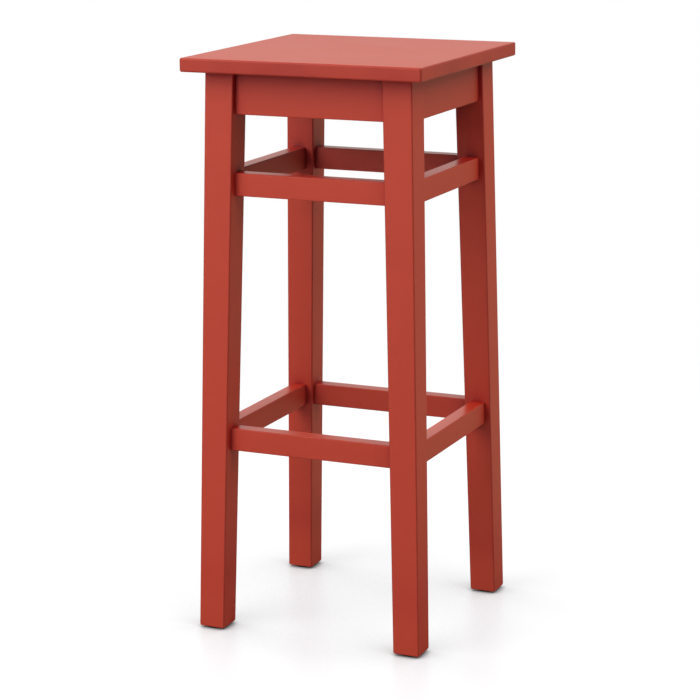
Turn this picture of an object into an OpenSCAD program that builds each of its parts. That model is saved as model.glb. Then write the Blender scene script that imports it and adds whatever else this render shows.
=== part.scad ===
// Bar stool: a board seat on four splayed, tapering legs, with aprons, upper rails and foot rails.
// Millimetres, +Z up, origin on the floor at the middle of the stool. The front faces -Y.

/* [Overall] */
// Height from the floor to the top of the seat
stool_h = 760; // [680:5:820]

/* [Seat] */
// Width of the seat, left to right
seat_w = 330; // [310:1:380]
// Depth of the seat, front to back
seat_d = 335; // [310:1:380]
// Thickness of the seat board
seat_t = 18; // [16:1:25]
// Radius of the eased edges round the seat
seat_ease = 2.5; // [1:0.5:4]
// Distance that the seat stands out past the legs at each side
overhang_side = 23; // [12:1:32]
// Distance that the seat stands out past the legs at front and back
overhang_front = 26; // [12:1:35]

/* [Legs] */
// Width of a leg's square section under the seat
leg_top = 40; // [38:0.5:46]
// Width of a leg's square section at the foot
leg_foot = 36; // [34:0.5:44]
// Distance that each foot stands out past the top of its leg, sideways and lengthways alike
splay = 16; // [0:1:45]
// Radius of the eased long edges of the legs
leg_ease = 2; // [0.5:0.5:4]
// Chamfer round the bottom of each foot
foot_chamfer = 2.5; // [0.5:0.5:3]

/* [Aprons] */
// Height of the aprons under the seat
apron_h = 55; // [48:1:75]
// Thickness of the aprons
apron_t = 20; // [18:1:22]
// Distance that the front and back aprons are set back from the faces of the legs
apron_set_front = 8; // [6:0.5:10]
// Distance that the side aprons are set back from the faces of the legs
apron_set_side = 6; // [6:0.5:10]

/* [Rails] */
// Height of every rail
rail_h = 30; // [26:1:40]
// Thickness of every rail
rail_t = 20; // [18:1:22]
// Gap between the lower edge of the aprons and the top of the upper rails
upper_gap = 75; // [40:1:120]
// Height of the top of the lower rails above the floor
lower_rail_top = 275; // [180:1:380]
// Distance that the front and back rails are set back from the faces of the legs
rail_set_front = 11; // [8:0.5:12]
// Distance that the side rails are set back from the faces of the legs
rail_set_side = 8.5; // [8:0.5:12]
// Radius of the eased long edges of aprons and rails
rail_ease = 1.5; // [0.5:0.5:3]

/* [Dowels] */
// Diameter of the dowels
dowel_d = 8; // [6:0.5:8]
// Length of the dowels
dowel_len = 30; // [28:1:40]
// Distance between the two dowels in each end of an apron
apron_dowel_step = 26; // [20:1:34]
// Distance between the two dowels in each end of a rail
rail_dowel_step = 14; // [12:1:16]
// Glue gap round a dowel
dowel_play = 0.1; // [0.05:0.05:0.2]
// Space left for glue past each end of a dowel
glue_well = 0.5; // [0.3:0.1:1]
// Wood left between a dowel bore and the bore that crosses it inside the leg
bore_wall = 1.2; // [1:0.1:2]

/* [Corner blocks] */
// Height of the corner blocks
block_h = 22; // [20:1:26]
// Length of a corner block's glued face along each apron
block_reach = 45; // [42:1:60]
// Gap between a corner block's notch and the leg
block_clear = 0.5; // [0.3:0.1:1]

/* [Screws] */
// Diameter of the screws
screw_d = 4; // [3:0.5:4.5]
// Length of the screws under the head
screw_len = 30; // [28:1:32]
// Diameter of a screw's head
screw_head_d = 8; // [7:0.5:9]
// Height of a screw's head
screw_head_h = 2.6; // [2:0.1:3]
// Wood under the head of the screws that hold a block to the aprons
block_grip = 15; // [13:0.5:16]
// Depth that the seat screws go into the seat
seat_bite = 12; // [10:0.5:13]
// Distance from a block's notch to the screws that go into the aprons
block_screw_in = 19; // [17:0.5:24]
// Distance from a block's notch to its seat screw, in both directions
seat_screw_in = 9.5; // [8:0.5:10]

/* [Glides] */
// Diameter of the glide under each foot
glide_d = 30; // [24:1:31]
// Thickness of the glides
glide_t = 2; // [1.8:0.1:4]
// Diameter of a glide's nail
nail_d = 2; // [1.5:0.1:2.5]
// Length of a glide's nail under the head
nail_len = 16; // [12:1:20]
// Diameter of the nail's head, bedded in the glide
nail_head_d = 6; // [5:0.5:8]
// Thickness of the nail's head
nail_head_t = 0.8; // [0.6:0.1:1]

/* [Hidden] */
$fn = 48;

paint = "#B4453A";
bare_wood = "#D9B98C";
zinc = "#B9BCBF";
black = "#1B1B1C";

// Spare length of a cut past the surface that it opens
past = 1;
// A screw turns freely in its clearance hole and bites in its pilot hole
screw_free = 0.2;
screw_fit = 0.05;
// Spare room round a screw's head in its counterbore
head_room = 0.5;
// Chamfer on the ends of a dowel
dowel_chamfer = 1;
// Length of a screw's point
screw_point = 4;
// An eased edge is an arc that starts this much wider than its radius, so that it meets the faces cleanly
ease_spread = 1.15;

seat_under = stool_h - seat_t;
foot_z = glide_t;
upper_rail_z = seat_under - apron_h - upper_gap - rail_h;
lower_rail_z = lower_rail_top - rail_h;
apron_z = seat_under - apron_h;
rail_mid_up = upper_rail_z + rail_h / 2;
rail_mid_low = lower_rail_z + rail_h / 2;
apron_mid = apron_z + apron_h / 2;

// How far down a leg a height lies: 0 under the seat and 1 at the foot
function down(z) = (seat_under - z) / (seat_under - foot_z);
function leg_width(z) = leg_top + (leg_foot - leg_top) * down(z);
// Distance from the middle of the stool to a leg's outer and inner faces, axis 0 across and 1 lengthways
function outer(axis, z) = (axis == 0 ? seat_w / 2 - overhang_side : seat_d / 2 - overhang_front)
    + splay * down(z);
function inner(axis, z) = outer(axis, z) - leg_width(z);

// Middle plane of a rail or apron that crosses the given axis, from its setback and thickness
function plane(axis, mid, set, t) = outer(axis, mid) - set - t / 2;
// Setback of the aprons and of the rails that run along an axis
function apron_set(axis) = axis == 0 ? apron_set_front : apron_set_side;
function rail_set(axis) = axis == 0 ? rail_set_front : rail_set_side;
// Depth of a dowel in the leg, stopping short of the bore of the dowel that crosses it
function depth_in_leg(mid, cross_set, t) =
    leg_width(mid) - cross_set - t / 2 - dowel_d / 2 - dowel_play - bore_wall - glue_well;

// Where the inner face of the apron that crosses an axis and the corner blocks' notches lie
function apron_in(axis) = plane(axis, apron_mid, apron_set(1 - axis), apron_t) - apron_t / 2;
function notch(axis) = inner(axis, seat_under) - block_clear;

// Removes the edge of a solid that fills x > 0, y > 0 along the Z axis, and leaves an arc
module edge_cut(length, r) {
    c = r * ease_spread;
    difference() {
        translate([-past, -past, -past]) cube([c + past, c + past, length + 2 * past]);
        translate([c, c, -2 * past]) cylinder(r = sqrt(c * c + (c - r) * (c - r)), h = length + 4 * past);
    }
}

// A bar along X, centred, with its long edges eased: low edges only, or both
module eased_bar(length, t, h, r, flips = [0, 1]) {
    difference() {
        cube([length, t, h], center = true);
        for (side = [0, 1], flip = flips)
            mirror([0, side, 0]) mirror([0, 0, flip])
                translate([-length / 2, -t / 2, h / 2]) rotate([0, 90, 0]) edge_cut(length, r);
    }
}

// Copies of a piece of the back right quarter in all four corners: [x mirrored, y mirrored]
CORNERS = [[0, 0], [1, 0], [0, 1], [1, 1]];
module at_corner(corner) {
    mirror([corner[0], 0, 0]) mirror([0, corner[1], 0]) children();
}

// A piece that runs along X at the back, or along Y at the right for axis 1
module along(axis) {
    if (axis == 0) children();
    else mirror([1, -1, 0]) children();
}

// A dowel lying along X that enters a leg to its right at x = 0
module dowel(in_leg) {
    r = dowel_d / 2;
    c = dowel_chamfer;
    translate([in_leg - dowel_len, 0, 0]) rotate([0, 90, 0]) rotate_extrude()
        polygon([[0, 0], [r - c, 0], [r, c], [r, dowel_len - c], [r - c, dowel_len], [0, dowel_len]]);
}

// The bore for that dowel: open for in_leg to the right, and for the rest of the dowel to the left
module dowel_bore(in_leg) {
    r = dowel_d / 2 + dowel_play;
    translate([in_leg - dowel_len - glue_well, 0, 0]) rotate([0, 90, 0])
        cylinder(r = r, h = dowel_len + 2 * glue_well);
}

// Puts its children at the two dowel places of the joint at the right end of a piece along an axis
module at_dowels(axis, mid, y, step) {
    for (z = [mid - step / 2, mid + step / 2])
        along(axis) translate([inner(axis, z), y, z]) children();
}

// The three joints of a piece along an axis with the back right leg, as bores or as dowels
module apron_joint(axis, bore) {
    in_leg = depth_in_leg(apron_mid, apron_set(1 - axis), apron_t);
    at_dowels(axis, apron_mid, plane(1 - axis, apron_mid, apron_set(axis), apron_t), apron_dowel_step)
        if (bore) dowel_bore(in_leg); else dowel(in_leg);
}
module rail_joint(axis, mid, bore) {
    in_leg = depth_in_leg(mid, rail_set(1 - axis), rail_t);
    at_dowels(axis, mid, plane(1 - axis, mid, rail_set(axis), rail_t), rail_dowel_step)
        if (bore) dowel_bore(in_leg); else dowel(in_leg);
}

// The leg's outline seen along one axis: tapered, splayed, and chamfered at the foot
module leg_outline(axis) {
    c = foot_chamfer;
    polygon([
        [inner(axis, foot_z) + c, foot_z],
        [outer(axis, foot_z) - c, foot_z],
        [outer(axis, foot_z + c), foot_z + c],
        [outer(axis, seat_under), seat_under],
        [inner(axis, seat_under), seat_under],
        [inner(axis, foot_z + c), foot_z + c]
    ]);
}

// A corner of the leg's section at height z: side 0 is the inner face and 1 the outer face
function leg_corner(side, z) = [
    side[0] == 0 ? inner(0, z) : outer(0, z),
    side[1] == 0 ? inner(1, z) : outer(1, z),
    z
];

module leg_blank() {
    reach = outer(0, foot_z) + outer(1, foot_z);
    difference() {
        intersection() {
            rotate([90, 0, 0]) linear_extrude(height = 2 * reach, center = true) leg_outline(0);
            rotate([90, 0, 90]) linear_extrude(height = 2 * reach, center = true) leg_outline(1);
        }
        for (side = CORNERS) {
            foot = leg_corner(side, foot_z);
            run = leg_corner(side, seat_under) - foot;
            translate(foot) rotate([-asin(run[1] / norm(run)), atan2(run[0], run[2]), 0])
                mirror([side[0], 0, 0]) mirror([0, side[1], 0]) edge_cut(norm(run), leg_ease);
        }
    }
}

module leg(corner) {
    color(paint) at_corner(corner) difference() {
        leg_blank();
        for (axis = [0, 1]) {
            apron_joint(axis, true);
            rail_joint(axis, rail_mid_up, true);
            rail_joint(axis, rail_mid_low, true);
        }
        glide_place() translate([0, 0, -past])
            cylinder(r = nail_d / 2 + screw_fit, h = nail_len + glue_well + past);
    }
}

// A board between two legs along an axis, its ends cut to the splay of the legs' inner faces
module board(axis, low, h, t, mid, set, flips) {
    top = low + h;
    far = inner(axis, low);
    along(axis) translate([0, plane(1 - axis, mid, set, t), 0]) intersection() {
        translate([0, 0, low + h / 2]) eased_bar(2 * far + 2 * leg_top, t, h, rail_ease, flips);
        rotate([90, 0, 0]) linear_extrude(height = 2 * t, center = true) polygon([
            [-inner(axis, low - past), low - past],
            [inner(axis, low - past), low - past],
            [inner(axis, top + past), top + past],
            [-inner(axis, top + past), top + past]
        ]);
    }
}

// The back apron for axis 0 or the right one for axis 1, and mirrored the front or the left one
module apron(axis, mirrored) {
    color(paint) mirror([axis * mirrored, (1 - axis) * mirrored, 0]) difference() {
        board(axis, apron_z, apron_h, apron_t, apron_mid, apron_set(axis), [1]);
        for (end = [0, 1]) mirror([(1 - axis) * end, axis * end, 0]) {
            apron_joint(axis, true);
            along(axis) block_screw_place(1 - axis) screw_hole(screw_fit);
        }
    }
}

module rail(axis, mirrored, low) {
    mid = low + rail_h / 2;
    color(paint) mirror([axis * mirrored, (1 - axis) * mirrored, 0]) difference() {
        board(axis, low, rail_h, rail_t, mid, rail_set(axis), [0, 1]);
        for (end = [0, 1]) mirror([(1 - axis) * end, axis * end, 0]) rail_joint(axis, mid, true);
    }
}

module seat() {
    color(paint) difference() {
        translate([0, 0, seat_under + seat_t / 2]) intersection() {
            eased_bar(seat_w, seat_d, seat_t, seat_ease);
            rotate([0, 0, 90]) eased_bar(seat_d, seat_w, seat_t, seat_ease);
            rotate([0, 90, 0]) eased_bar(seat_t, seat_d, seat_w, seat_ease);
        }
        for (corner = CORNERS) at_corner(corner) seat_screw_place() screw_hole(screw_fit);
    }
}

// A pan-head screw pointing up, with the underside of its head at z = 0
module screw() {
    r = screw_d / 2;
    head = screw_head_d / 2;
    crown = screw_head_h / 3;
    rotate_extrude() polygon([
        [0, -screw_head_h],
        [head - crown, -screw_head_h],
        [head, -screw_head_h + crown],
        [head, 0],
        [r, 0],
        [r, screw_len - screw_point],
        [0, screw_len]
    ]);
}

module screw_hole(room) {
    cylinder(r = screw_d / 2 + room, h = screw_len + room);
}

// The counterbore that lets a screw's head in from below
module head_hole(depth) {
    translate([0, 0, -depth]) cylinder(r = screw_head_d / 2 + head_room, h = depth);
}

// A screw through a block into the apron at the back, with the block's axes named by which apron it is
module block_screw_place(across) {
    translate([notch(1 - across) - block_screw_in, apron_in(across) - block_grip, seat_under - block_h / 2])
        rotate([-90, 0, 0]) children();
}

// A screw up through a block into the seat
module seat_screw_place() {
    translate([notch(0) - seat_screw_in, notch(1) - seat_screw_in, seat_under + seat_bite - screw_len])
        children();
}

// A triangular block behind each leg, notched round the leg's inner corner
module corner_block(corner) {
    near = [notch(0) - block_reach, notch(1) - block_reach];
    color(paint) at_corner(corner) difference() {
        translate([0, 0, seat_under - block_h]) linear_extrude(height = block_h) polygon([
            [near[0], apron_in(1)],
            [notch(0), apron_in(1)],
            [notch(0), notch(1)],
            [apron_in(0), notch(1)],
            [apron_in(0), near[1]]
        ]);
        for (axis = [0, 1]) along(axis) block_screw_place(1 - axis) {
            screw_hole(screw_free);
            head_hole(block_reach);
        }
        seat_screw_place() {
            screw_hole(screw_free);
            head_hole(block_h);
        }
    }
}

// The middle of the bottom of a foot, where the glide is nailed
module glide_place() {
    translate([for (axis = [0, 1]) (inner(axis, foot_z) + outer(axis, foot_z)) / 2]) translate([0, 0, foot_z])
        children();
}

module glide(corner) {
    r = glide_d / 2;
    edge = glide_t / 4;
    bed = nail_head_d / 2 + screw_fit;
    color(black) at_corner(corner) glide_place() rotate_extrude() polygon([
        [0, -glide_t],
        [r - edge, -glide_t],
        [r, edge - glide_t],
        [r, 0],
        [bed, 0],
        [bed, -nail_head_t],
        [0, -nail_head_t]
    ]);
}

module nail() {
    r = nail_d / 2;
    rotate_extrude() polygon([
        [0, -nail_head_t],
        [nail_head_d / 2, -nail_head_t],
        [nail_head_d / 2, 0],
        [r, 0],
        [r, nail_len - nail_d],
        [0, nail_len]
    ]);
}

module apron_dowels() {
    color(bare_wood) for (corner = CORNERS, axis = [0, 1]) at_corner(corner) apron_joint(axis, false);
}
module rail_dowels(mid) {
    color(bare_wood) for (corner = CORNERS, axis = [0, 1]) at_corner(corner) rail_joint(axis, mid, false);
}
module block_screws() {
    color(zinc) for (corner = CORNERS, axis = [0, 1])
        at_corner(corner) along(axis) block_screw_place(1 - axis) screw();
}
module seat_screws() {
    color(zinc) for (corner = CORNERS) at_corner(corner) seat_screw_place() screw();
}
module glide_nails() {
    color(zinc) for (corner = CORNERS) at_corner(corner) glide_place() nail();
}

seat();
leg([1, 1]);  // leg_front_left
leg([0, 1]);  // leg_front_right
leg([1, 0]);  // leg_back_left
leg([0, 0]);  // leg_back_right
apron(0, 1);  // apron_front
apron(0, 0);  // apron_back
apron(1, 1);  // apron_left
apron(1, 0);  // apron_right
rail(0, 1, upper_rail_z);  // upper_rail_front
rail(0, 0, upper_rail_z);  // upper_rail_back
rail(1, 1, upper_rail_z);  // upper_rail_left
rail(1, 0, upper_rail_z);  // upper_rail_right
rail(0, 1, lower_rail_z);  // lower_rail_front
rail(0, 0, lower_rail_z);  // lower_rail_back
rail(1, 1, lower_rail_z);  // lower_rail_left
rail(1, 0, lower_rail_z);  // lower_rail_right
corner_block([1, 1]);  // corner_block_front_left
corner_block([0, 1]);  // corner_block_front_right
corner_block([1, 0]);  // corner_block_back_left
corner_block([0, 0]);  // corner_block_back_right
glide([1, 1]);  // glide_front_left
glide([0, 1]);  // glide_front_right
glide([1, 0]);  // glide_back_left
glide([0, 0]);  // glide_back_right
apron_dowels();
rail_dowels(rail_mid_up);  // upper_rail_dowels
rail_dowels(rail_mid_low);  // lower_rail_dowels
block_screws();
seat_screws();
glide_nails();
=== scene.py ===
"""Looks of a red painted wooden bar stool, built round its packed construction. Metres throughout."""
import math

import bmesh
import bpy
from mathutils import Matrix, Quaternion, Vector


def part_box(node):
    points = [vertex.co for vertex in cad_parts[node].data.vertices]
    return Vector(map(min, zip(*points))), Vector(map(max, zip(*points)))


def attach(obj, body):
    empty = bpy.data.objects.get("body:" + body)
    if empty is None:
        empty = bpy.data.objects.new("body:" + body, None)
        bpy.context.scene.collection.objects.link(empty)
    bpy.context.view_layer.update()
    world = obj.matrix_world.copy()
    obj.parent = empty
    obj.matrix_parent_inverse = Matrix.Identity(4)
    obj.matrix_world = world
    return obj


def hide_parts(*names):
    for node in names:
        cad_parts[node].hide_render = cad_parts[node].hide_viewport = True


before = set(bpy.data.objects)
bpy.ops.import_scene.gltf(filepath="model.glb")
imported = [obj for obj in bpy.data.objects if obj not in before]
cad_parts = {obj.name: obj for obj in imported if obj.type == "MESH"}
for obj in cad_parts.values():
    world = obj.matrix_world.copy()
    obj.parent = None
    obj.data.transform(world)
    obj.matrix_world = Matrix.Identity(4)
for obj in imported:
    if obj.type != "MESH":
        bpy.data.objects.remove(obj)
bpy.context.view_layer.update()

MM = 0.001
ACROSS, LENGTHWAYS, UPRIGHT = 0, 1, 2
# Mirroring across and lengthways that takes the front left corner to each corner
CORNERS = {
    "front_left": (1, 1),
    "front_right": (-1, 1),
    "back_left": (1, -1),
    "back_right": (-1, -1),
}
# A side whose rails and apron are made, the side across from it, the mirroring that takes one to the
# other, and the way their wood runs
SIDES = (
    ("front", "back", (1, -1), ACROSS),
    ("left", "right", (-1, 1), LENGTHWAYS),
)

# Sizes that the frame's boxes don't give
LEG_TOP = 40 * MM
LEG_FOOT = 36 * MM
LEG_EDGE = 2 * MM
FOOT_EDGE = 2.5 * MM
SEAT_EDGE = 2.5 * MM
RAIL_EDGE = 1.5 * MM
GLIDE_EDGE = 0.5 * MM

# Steps in a rounded edge, and the sides of a glide's round outline
ROUND_STEPS = 4
FOOT_STEPS = 2
GLIDE_STEPS = 3
GLIDE_SIDES = 64

# Share of its length that an edge covers along an axis when it runs that way
ALONG_SHARE = 0.9
# Nearer than this, a corner lies on a level, and two corners are one
ON_LEVEL = MM / 10
SAME_PLACE = 0.001 * MM
# Faces that meet at less than this angle are shaded as one curve
SMOOTH_ANGLE = math.radians(35)


# Legs: where their faces run
def leg_inner(axis, z):
    """Distance from the middle of the stool to the legs' inner faces at height z."""
    low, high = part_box("leg_back_right")
    down = (high.z - z) / (high.z - low.z)
    return low[axis] + (high[axis] - LEG_FOOT - low[axis]) * down


# Modelling
def edit(piece):
    """Opens one piece for editing, and no other."""
    bpy.ops.object.select_all(action="DESELECT")
    piece.select_set(True)
    bpy.context.view_layer.objects.active = piece
    bpy.ops.object.mode_set(mode="EDIT")
    bpy.ops.mesh.select_mode(type="FACE")


def start(name):
    """Names the primitive that was just added and opens it for editing."""
    piece = bpy.context.object
    piece.name = piece.data.name = name
    bpy.ops.object.transform_apply(location=True, rotation=True, scale=True)
    edit(piece)
    return piece


def start_box(name, low, high):
    """A box between two corners, open for editing."""
    bpy.ops.object.select_all(action="DESELECT")
    bpy.ops.mesh.primitive_cube_add(size=1, location=(low + high) / 2)
    bpy.context.object.scale = high - low
    return start(name)


def pick_edges(piece, wanted):
    """Selects the edges for which wanted(edge) is true, and nothing else."""
    mesh = bmesh.from_edit_mesh(piece.data)
    mesh.select_mode = {"EDGE"}
    for group in (mesh.verts, mesh.edges, mesh.faces):
        for item in group:
            item.select = False
    for edge in mesh.edges:
        if wanted(edge):
            edge.select_set(True)
    mesh.select_flush_mode()
    bmesh.update_edit_mesh(piece.data)
    bpy.ops.mesh.select_mode(type="EDGE")


def runs_along(edge, axis):
    """True for an edge that runs along one of the stool's axes, splay aside."""
    run = edge.verts[1].co - edge.verts[0].co
    return abs(run[axis]) > ALONG_SHARE * run.length


def lies_at(edge, level):
    """True for an edge that lies level at this height."""
    return all(abs(corner.co.z - level) < ON_LEVEL for corner in edge.verts)


def round_edges(piece, wanted, radius, steps=ROUND_STEPS):
    """Rounds the edges for which wanted(edge) is true."""
    pick_edges(piece, wanted)
    bpy.ops.mesh.bevel(offset_type="OFFSET", offset=radius, segments=steps, profile=0.5)


def twin(first, name, mirroring):
    """A finished copy with a mesh of its own, mirrored across and lengthways about the middle of the
    stool, its faces pointing outwards and its roundings smooth."""
    piece = first.copy()
    piece.data = first.data.copy()
    piece.name = piece.data.name = name
    bpy.context.scene.collection.objects.link(piece)
    edit(piece)
    bpy.ops.mesh.select_all(action="SELECT")
    bpy.ops.transform.resize(value=(*mirroring, 1), center_override=(0, 0, 0))
    bpy.ops.mesh.remove_doubles(threshold=SAME_PLACE)
    bpy.ops.mesh.normals_make_consistent(inside=False)
    bpy.ops.object.mode_set(mode="OBJECT")
    bpy.ops.object.shade_smooth_by_angle(angle=SMOOTH_ANGLE)
    even = piece.modifiers.new("even faces", "WEIGHTED_NORMAL")
    even.keep_sharp = True
    bpy.ops.object.modifier_apply(modifier=even.name)
    return piece


def stand_in(first, nodes, material):
    """Sets a copy of the first piece in place of each frame node, with the mirroring given for it."""
    bpy.ops.object.mode_set(mode="OBJECT")
    for node, mirroring in nodes.items():
        piece = twin(first, f"{first.name}_{node}", mirroring)
        piece.data.materials.append(material)
        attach(piece, "root")
        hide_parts(node)
    bpy.data.meshes.remove(first.data)


# Pieces
def seat_board():
    """The seat: one board, rounded all round."""
    low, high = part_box("seat")
    seat = start_box("board", low, high)
    round_edges(seat, lambda edge: True, SEAT_EDGE)
    return seat


def leg():
    """The front left leg: a square foot drawn out to the wider head under the seat, leaning out both
    ways."""
    low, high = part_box("leg_front_left")
    inward = Vector((1, 1, 0))
    foot = low + inward * LEG_FOOT / 2
    head = high - inward * LEG_TOP / 2
    bpy.ops.object.select_all(action="DESELECT")
    bpy.ops.mesh.primitive_plane_add(size=LEG_FOOT, location=foot)
    piece = start("wood")
    bpy.ops.mesh.select_all(action="SELECT")
    bpy.ops.mesh.extrude_region_move(TRANSFORM_OT_translate={"value": head - foot})
    widen = LEG_TOP / LEG_FOOT
    bpy.ops.transform.resize(value=(widen, widen, 1), center_override=head)
    round_edges(piece, lambda edge: runs_along(edge, UPRIGHT), LEG_EDGE)
    round_edges(piece, lambda edge: lies_at(edge, low.z), FOOT_EDGE, FOOT_STEPS)
    return piece


def board(node, keep_top=False):
    """A rail or apron: rounded along its length, the top edges too unless keep_top is set, then sawn off
    at both ends to the splay of the legs."""
    low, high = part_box(node)
    axis = ACROSS if node.endswith("front") else LENGTHWAYS
    spare = Vector((0, 0, 0))
    spare[axis] = LEG_TOP
    piece = start_box("wood", low - spare, high + spare)
    round_edges(
        piece,
        lambda edge: runs_along(edge, axis) and not (keep_top and lies_at(edge, high.z)),
        RAIL_EDGE,
    )
    inner_low, inner_top = leg_inner(axis, low.z), leg_inner(axis, high.z)
    for end in (-1, 1):
        on_face = Vector((0, 0, low.z))
        on_face[axis] = end * inner_low
        out = Vector((0, 0, inner_low - inner_top))
        out[axis] = end * (high.z - low.z)
        bpy.ops.mesh.select_all(action="SELECT")
        bpy.ops.mesh.bisect(plane_co=on_face, plane_no=out, use_fill=True, clear_outer=True)
    return piece


def glide():
    """The front left glide: a moulded disc under the foot, its lower rim softened."""
    low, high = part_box("glide_front_left")
    bpy.ops.object.select_all(action="DESELECT")
    bpy.ops.mesh.primitive_cylinder_add(
        vertices=GLIDE_SIDES,
        radius=(high.x - low.x) / 2,
        depth=high.z - low.z,
        location=(low + high) / 2,
    )
    piece = start("disc")
    round_edges(piece, lambda edge: lies_at(edge, low.z), GLIDE_EDGE, GLIDE_STEPS)
    return piece


# Materials
# A colour Mix node's two inputs and its output, by number, because its other types have the same names
FIRST, SECOND, MIXED = 6, 7, 2
RED = "#AE2F14"
WHITE = "#FFFFFF"


def linear(colour):
    """An sRGB hex colour as linear red, green, blue and alpha."""
    parts = [int(colour[i:i + 2], 16) / 255 for i in (1, 3, 5)]
    return (*(c / 12.92 if c <= 0.04045 else ((c + 0.055) / 1.055) ** 2.4 for c in parts), 1.0)


def add(owner, kind, links=(), colours=(), **settings):
    """Adds a node to a material or world: links are (own input, other node, its output), colours are
    (own input, hex colour), and settings are the node's own values and other inputs by name."""
    tree = owner.node_tree
    node = tree.nodes.new("ShaderNode" + kind)
    for name, value in settings.items():
        if hasattr(node, name):
            setattr(node, name, value)
        else:
            node.inputs[name.replace("_", " ")].default_value = value
    for socket, colour in colours:
        node.inputs[socket].default_value = linear(colour)
    for socket, other, output in links:
        tree.links.new(other.outputs[output], node.inputs[socket])
    return node


def new_material(name):
    """An empty material."""
    material = bpy.data.materials.new(name)
    material.use_nodes = True
    material.node_tree.nodes.clear()
    return material


def satin_red_paint(name, grain, level_gloss=0.36, edge_red=RED, shelter=0.68):
    """Satin enamel sprayed on beech: one even red, a soft sheen, a fine orange peel, and the grain
    just felt along the wood, with painted shade along the upright arrises, in corners and inside the
    frame. grain is the axis that the wood runs along, level_gloss the roughness of its level faces,
    edge_red the colour of the upright ones, set darker on the seat as painted shade, and shelter how
    much open air a face needs round it to escape the painted shade inside the frame."""
    material = new_material(name)
    place = add(material, "TexCoord")
    stretch = [1.0, 1.0, 1.0]
    stretch[grain] = 0.03
    along = add(material, "Mapping", [("Vector", place, "Object")], Scale=stretch)
    # Cloudy tone over a hand's breadth, as the coat varies in thickness
    cloud = add(material, "TexNoise", [("Vector", place, "Object")],
                Scale=1 / (90 * MM), Detail=2, Roughness=0.5)
    # Pores drawn out along the grain, 1.2 mm apart: coarser than beech has them, so that they show
    pores = add(material, "TexNoise", [("Vector", along, "Vector")],
                Scale=1 / (1.2 * MM), Detail=3, Roughness=0.6)
    # Orange peel 2.5 mm across
    peel = add(material, "TexNoise", [("Vector", place, "Object")],
               Scale=1 / (2.5 * MM), Detail=1, Roughness=0.4)
    facing = add(material, "NewGeometry")
    rise = add(material, "SeparateXYZ", [("Vector", facing, "Normal")])
    flat = add(material, "MapRange", [("Value", rise, "Z")], From_Min=0.5, From_Max=0.95)
    # Upright faces take edge_red and level ones the plain red; on the seat edge_red is darker, as painted
    # shade on its edges
    body = add(material, "Mix", [("Factor", flat, "Result")], [(FIRST, edge_red), (SECOND, RED)],
               data_type="RGBA")
    coat = add(material, "Mix", [("Factor", cloud, "Fac"), (FIRST, body, MIXED)],
               [(SECOND, "#B43316")], data_type="RGBA")
    # Painted shade: a darker red along the upright arrises
    corner = add(material, "Math", [(0, rise, "X"), (1, rise, "Y")], operation="MULTIPLY")
    arris = add(material, "Math", [(0, corner, "Value")], operation="ABSOLUTE")
    arris_shade = add(material, "MapRange", [("Value", arris, "Value")],
               From_Min=0.1, From_Max=0.45, To_Max=0.5)
    edged = add(material, "Mix", [("Factor", arris_shade, "Result"), (FIRST, coat, MIXED)],
                [(SECOND, "#74180A")], data_type="RGBA")
    # Painted shade: between the legs and in corners a deeper red than the lamps alone give, less so
    # towards the feet
    near_air = add(material, "AmbientOcclusion", Distance=150 * MM, samples=8)
    roomy = add(material, "MapRange", [("Value", near_air, "AO")],
                interpolation_type="SMOOTHSTEP", From_Min=0.35, From_Max=1.0)
    height = add(material, "SeparateXYZ", [("Vector", place, "Object")])
    feet = add(material, "MapRange", [("Value", height, "Z")], From_Min=170 * MM, From_Max=40 * MM)
    clear = add(material, "Math", [(0, roomy, "Result"), (1, feet, "Result")], operation="MAXIMUM")
    tone = add(material, "Mix", [("Factor", clear, "Value"), (SECOND, edged, MIXED)],
               [(FIRST, "#A20702")], data_type="RGBA")
    # Painted shade: dark inside the frame and up under the seat, where the lamps alone leave the faces
    # too light
    open_air = add(material, "AmbientOcclusion", Distance=400 * MM, samples=8)
    outside = add(material, "MapRange", [("Value", open_air, "AO")],
                  interpolation_type="SMOOTHSTEP", From_Min=0.15, From_Max=shelter)
    spared = add(material, "Math", [(0, flat, "Result"), (1, feet, "Result")], operation="MAXIMUM")
    full = add(material, "Math", [(0, outside, "Result"), (1, spared, "Value")], operation="MAXIMUM")
    colour = add(material, "Mix", [("Factor", full, "Value"), (SECOND, tone, MIXED)],
                 [(FIRST, "#640402")], data_type="RGBA")
    # The coat levels out smoother on faces that lie flat than on upright ones
    level = add(material, "MapRange", [("Value", flat, "Result")], To_Min=0.60, To_Max=level_gloss)
    sheen = add(material, "MapRange", [("Value", cloud, "Fac")], To_Min=-0.03, To_Max=0.03)
    rough = add(material, "MapRange", [("Value", pores, "Fac")], To_Min=-0.02, To_Max=0.02)
    uneven = add(material, "Math", [(0, sheen, "Result"), (1, rough, "Result")], operation="ADD")
    gloss = add(material, "Math", [(0, level, "Result"), (1, uneven, "Value")], operation="ADD")
    skin = add(material, "Bump", [("Height", peel, "Fac")], Strength=0.12, Distance=0.05 * MM)
    felt = add(material, "Bump", [("Height", pores, "Fac"), ("Normal", skin, "Normal")],
               Strength=0.10, Distance=0.05 * MM)
    shader = add(
        material,
        "BsdfPrincipled",
        [("Base Color", colour, MIXED), ("Roughness", gloss, "Value"), ("Normal", felt, "Normal")],
        IOR=1.5,
    )
    add(material, "OutputMaterial", [("Surface", shader, "BSDF")])
    return material


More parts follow.
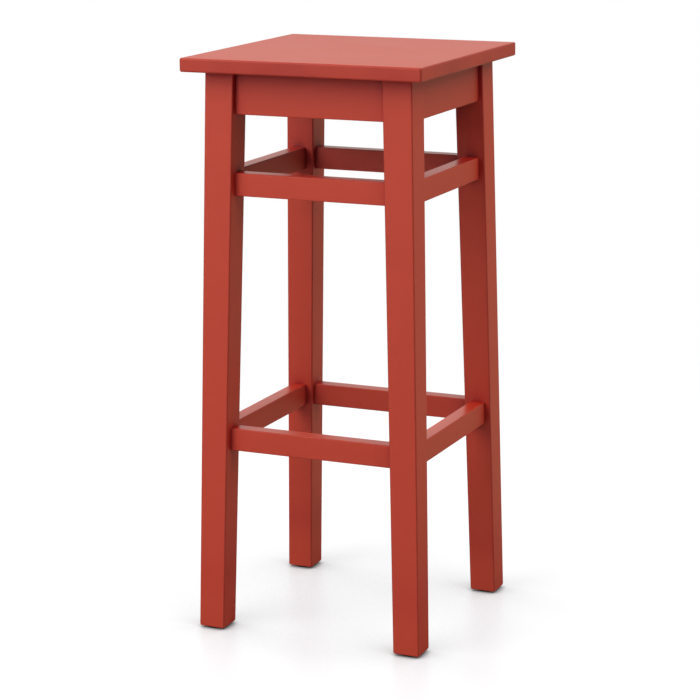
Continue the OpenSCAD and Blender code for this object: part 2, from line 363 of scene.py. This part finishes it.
def moulded_black_plastic():
    """Polypropylene glide, injection moulded: near black, with the fine spark-eroded skin of the mould
    that scatters the light, and paler scuffs from the floor on the underside."""
    material = new_material("moulded_black_plastic")
    place = add(material, "TexCoord")
    # Mould texture 0.4 mm across
    skin = add(material, "TexNoise", [("Vector", place, "Object")],
               Scale=1 / (0.4 * MM), Detail=2, Roughness=0.5)
    # Scuffs 3 mm across
    scuff = add(material, "TexNoise", [("Vector", place, "Object")],
                Scale=1 / (3 * MM), Detail=4, Roughness=0.7)
    height = add(material, "SeparateXYZ", [("Vector", place, "Object")])
    underside = add(material, "MapRange", [("Value", height, "Z")],
                    From_Min=1.2 * MM, From_Max=0.2 * MM)
    patches = add(material, "MapRange", [("Value", scuff, "Fac")], From_Min=0.5, From_Max=0.7)
    worn = add(material, "Math", [(0, underside, "Result"), (1, patches, "Result")],
               operation="MULTIPLY")
    body = add(material, "Mix", [("Factor", worn, "Value")],
               [(FIRST, "#19191B"), (SECOND, "#4A4A4C")], data_type="RGBA")
    gloss = add(material, "MapRange", [("Value", skin, "Fac")], To_Min=0.45, To_Max=0.62)
    grip = add(material, "Bump", [("Height", skin, "Fac")], Strength=0.3, Distance=0.03 * MM)
    shader = add(
        material,
        "BsdfPrincipled",
        [("Base Color", body, MIXED), ("Roughness", gloss, "Result"), ("Normal", grip, "Normal")],
        IOR=1.49,
    )
    add(material, "OutputMaterial", [("Surface", shader, "BSDF")])
    return material


def zinc_plated_steel():
    """Screws and nails of zinc-plated steel: a bright blue-grey metal whose plating is thicker and duller
    in soft patches."""
    material = new_material("zinc_plated_steel")
    place = add(material, "TexCoord")
    # Patches of plating 2 mm across
    plating = add(material, "TexNoise", [("Vector", place, "Object")],
                  Scale=1 / (2 * MM), Detail=3, Roughness=0.6)
    metal = add(material, "Mix", [("Factor", plating, "Fac")],
                [(FIRST, "#A9AEB6"), (SECOND, "#C9CBCC")], data_type="RGBA")
    gloss = add(material, "MapRange", [("Value", plating, "Fac")], To_Min=0.24, To_Max=0.44)
    shader = add(material, "BsdfPrincipled",
                 [("Base Color", metal, MIXED), ("Roughness", gloss, "Result")], Metallic=1.0)
    add(material, "OutputMaterial", [("Surface", shader, "BSDF")])
    return material


def bare_beech():
    """Beech dowels, turned and left bare: pale pinkish brown with short darker flecks along the wood.
    Every dowel lies level, so the flecks are drawn out both ways on the level and stay thin in height."""
    material = new_material("bare_beech")
    place = add(material, "TexCoord")
    level = add(material, "Mapping", [("Vector", place, "Object")], Scale=(0.12, 0.12, 1.0))
    # Flecks 0.5 mm high, tone 6 mm
    fleck = add(material, "TexNoise", [("Vector", level, "Vector")],
                Scale=1 / (0.5 * MM), Detail=2, Roughness=0.6)
    warmth = add(material, "TexNoise", [("Vector", level, "Vector")],
                 Scale=1 / (6 * MM), Detail=2, Roughness=0.5)
    wood = add(material, "Mix", [("Factor", warmth, "Fac")],
               [(FIRST, "#D2AE80"), (SECOND, "#E2C59C")], data_type="RGBA")
    dark = add(material, "MapRange", [("Value", fleck, "Fac")],
               From_Min=0.56, From_Max=0.7, To_Max=0.6)
    flecked = add(material, "Mix", [("Factor", dark, "Result"), (FIRST, wood, MIXED)],
                  [(SECOND, "#A87A50")], data_type="RGBA")
    grain = add(material, "Bump", [("Height", fleck, "Fac")], Strength=0.2, Distance=0.05 * MM)
    shader = add(material, "BsdfPrincipled",
                 [("Base Color", flecked, MIXED), ("Normal", grain, "Normal")], Roughness=0.62)
    add(material, "OutputMaterial", [("Surface", shader, "BSDF")])
    return material


def studio_floor():
    """Smooth paper floor: pale grey to the light that falls on the stool. To the camera it is lifted to
    white by its own glow, with a painted soft shadow under the stool over the faint real one, and from
    there on it is the white backdrop."""
    material = new_material("studio_floor")
    rays = add(material, "LightPath")
    paper = add(material, "BsdfDiffuse", colours=[("Color", "#D3D3D3")])
    shaded = add(material, "BsdfDiffuse", colours=[("Color", "#7C7C7C")])
    # Painted shadow: a soft pool of shade under the stool, as an overcast light would leave it
    open_sky = add(material, "AmbientOcclusion", Distance=420 * MM, samples=8)
    depth = add(material, "MapRange", [("Value", open_sky, "AO")],
                From_Min=0.4, From_Max=1.0, To_Min=0.39, To_Max=0.78)
    # Painted shadow: a dark line where a foot stands close over the floor
    close_by = add(material, "AmbientOcclusion", Distance=10 * MM, samples=8)
    gap = add(material, "MapRange", [("Value", close_by, "AO")],
              From_Min=0.3, From_Max=0.9, To_Min=0.08)
    left = add(material, "Math", [(0, depth, "Result"), (1, gap, "Result")], operation="MULTIPLY")
    lift = add(material, "Emission", [("Strength", left, "Value")], [("Color", "#FCFDFF")])
    # Faint mirror of the feet in the smooth floor
    sheen = add(material, "BsdfGlossy", colours=[("Color", "#656565")], Roughness=0.35)
    dull = add(material, "AddShader", [(0, shaded, "BSDF"), (1, lift, "Emission")])
    pool = add(material, "AddShader", [(0, dull, "Shader"), (1, sheen, "BSDF")])
    # Past the shadow, the backdrop
    white = add(material, "Emission", colours=[("Color", WHITE)], Strength=1.0)
    place = add(material, "TexCoord")
    reach = add(material, "VectorMath", [(0, place, "Object")], operation="LENGTH")
    away = add(material, "MapRange", [("Value", reach, "Value")],
               interpolation_type="SMOOTHSTEP", From_Min=0.7, From_Max=1.6)
    eye = add(material, "MixShader",
              [(0, away, "Result"), (1, pool, "Shader"), (2, white, "Emission")])
    # Painted light in the gloss of the paint: the floor glows bright behind the stool and dim in front of
    # it
    side = add(material, "SeparateXYZ", [("Vector", place, "Object")])
    lit = add(material, "MapRange", [("Value", side, "Y")], interpolation_type="SMOOTHSTEP",
              From_Min=-0.1, From_Max=0.8, To_Min=0.08, To_Max=0.85)
    mirrored = add(material, "Emission", [("Strength", lit, "Result")], [("Color", "#FFF6CC")])
    dim = add(material, "MixShader",
              [(0, rays, "Is Glossy Ray"), (1, paper, "BSDF"), (2, mirrored, "Emission")])
    both = add(material, "MixShader",
               [(0, rays, "Is Camera Ray"), (1, dim, "Shader"), (2, eye, "Shader")])
    add(material, "OutputMaterial", [("Surface", both, "Shader")])
    return material


# Build
paint = {
    UPRIGHT: satin_red_paint("satin_red_paint_upright", UPRIGHT, shelter=0.48),
    ACROSS: satin_red_paint("satin_red_paint_across", ACROSS),
    LENGTHWAYS: satin_red_paint("satin_red_paint_lengthways", LENGTHWAYS),
}
# The seat's upright edges are set a darker red: painted shade
seat_paint = satin_red_paint("satin_red_paint_seat", ACROSS, level_gloss=0.44, edge_red="#901104")
moulded_black = moulded_black_plastic()
zinc = zinc_plated_steel()
beech = bare_beech()

stand_in(seat_board(), {"seat": (1, 1)}, seat_paint)
stand_in(leg(), {f"leg_{corner}": flip for corner, flip in CORNERS.items()},
         paint[UPRIGHT])
stand_in(glide(), {f"glide_{corner}": flip for corner, flip in CORNERS.items()},
         moulded_black)
for kind in ("apron", "upper_rail", "lower_rail"):
    for side, other, flip, grain in SIDES:
        first = board(f"{kind}_{side}", keep_top=kind == "apron")
        nodes = {f"{kind}_{side}": (1, 1), f"{kind}_{other}": flip}
        stand_in(first, nodes, paint[grain])

# Frame nodes that stay as they are, out of sight or under the seat
kept = {
    **{f"corner_block_{corner}": paint[ACROSS] for corner in CORNERS},
    **{f"{kind}_dowels": beech for kind in ("apron", "upper_rail", "lower_rail")},
    **{node: zinc for node in ("block_screws", "seat_screws", "glide_nails")},
}
for node, material in kept.items():
    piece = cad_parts[node]
    piece.data.materials.clear()
    piece.data.materials.append(material)

# Stage
FLOOR_SIZE = 60
LAMPS_AIM = Vector((0, 0, 400 * MM))


def soft_studio():
    """The room round the stool: white to the camera, and a faint even light on the stool, to which the
    lamps add theirs."""
    world = bpy.data.worlds.new("soft_studio")
    world.use_nodes = True
    world.node_tree.nodes.clear()
    rays = add(world, "LightPath")
    seen = add(world, "Math", [(0, rays, "Is Camera Ray"), (1, rays, "Is Transmission Ray")],
               operation="MAXIMUM")
    level = add(world, "MapRange", [("Value", seen, "Value")], To_Min=0.04, To_Max=1.0)
    sky = add(world, "Background", [("Strength", level, "Result")], [("Color", WHITE)])
    # In the gloss of the paint: the warm white sweep behind the stool, a dim studio in front of it
    view = add(world, "TexCoord")
    way = add(world, "SeparateXYZ", [("Vector", view, "Generated")])
    sweep = add(world, "MapRange", [("Value", way, "Y")], interpolation_type="SMOOTHSTEP",
                From_Min=-0.3, From_Max=0.4, To_Min=0.08, To_Max=1.0)
    mirrored = add(world, "Background", [("Strength", sweep, "Result")], [("Color", "#FFFEF6")])
    both = add(world, "MixShader",
               [(0, rays, "Is Glossy Ray"), (1, sky, "Background"), (2, mirrored, "Background")])
    add(world, "OutputWorld", [("Surface", both, "Shader")])
    return world


def softbox(name, side, height, away, size, power):
    """A square soft light turned to the middle of the stool. side and height are degrees, with side 0 at
    the front and 90 at the right, away and size are metres, and power is watts."""
    turn, lift = math.radians(side), math.radians(height)
    way = Vector((math.sin(turn) * math.cos(lift), -math.cos(turn) * math.cos(lift), math.sin(lift)))
    light = bpy.data.lights.new(name, "AREA")
    light.shape = "SQUARE"
    light.size = size
    light.energy = power
    holder = bpy.data.objects.new(name, light)
    bpy.context.scene.collection.objects.link(holder)
    holder.location = LAMPS_AIM + way * away
    holder.rotation_mode = "QUATERNION"
    holder.rotation_quaternion = (-way).to_track_quat("-Z", "Y")


bpy.ops.object.select_all(action="DESELECT")
bpy.ops.mesh.primitive_plane_add(size=FLOOR_SIZE, location=(0, 0, 0))
floor = bpy.context.object
floor.name = "studio_floor"
floor.data.materials.append(studio_floor())

bpy.context.scene.world = soft_studio()
softbox("key_front_left", side=-28, height=33, away=3.3, size=2.75, power=103)
softbox("window_right", side=86, height=51, away=4, size=3.2, power=111)
softbox("window_left", side=-100, height=28, away=4, size=2.4, power=80)

# Camera: turned to the right of the front, looking down, and leaning a little
VIEW_SIDE = math.radians(23.88)
VIEW_DOWN = math.radians(13.13)
VIEW_TILT = math.radians(-0.36)
VIEW_DISTANCE = 3.1657
VIEW_REACH = 100
AIM_ASIDE = -5 * MM
AIM_HEIGHT = 360 * MM
# In millimetres, as a camera has them
SENSOR_WIDTH = 36
FOCAL_LENGTH = 121.93

back = Vector((
    math.sin(VIEW_SIDE) * math.cos(VIEW_DOWN),
    -math.cos(VIEW_SIDE) * math.cos(VIEW_DOWN),
    math.sin(VIEW_DOWN),
))
aim = Vector((AIM_ASIDE * math.cos(VIEW_SIDE), AIM_ASIDE * math.sin(VIEW_SIDE), AIM_HEIGHT))
camera = bpy.data.objects.new("camera", bpy.data.cameras.new("camera"))
bpy.context.scene.collection.objects.link(camera)
camera.location = aim + back * VIEW_DISTANCE
camera.rotation_mode = "QUATERNION"
camera.rotation_quaternion = (-back).to_track_quat("-Z", "Y") @ Quaternion((0, 0, 1), VIEW_TILT)
camera.data.sensor_width = SENSOR_WIDTH
camera.data.lens = FOCAL_LENGTH
camera.data.clip_end = VIEW_REACH
bpy.context.scene.camera = camera
bpy.context.scene.view_settings.view_transform = "Standard"
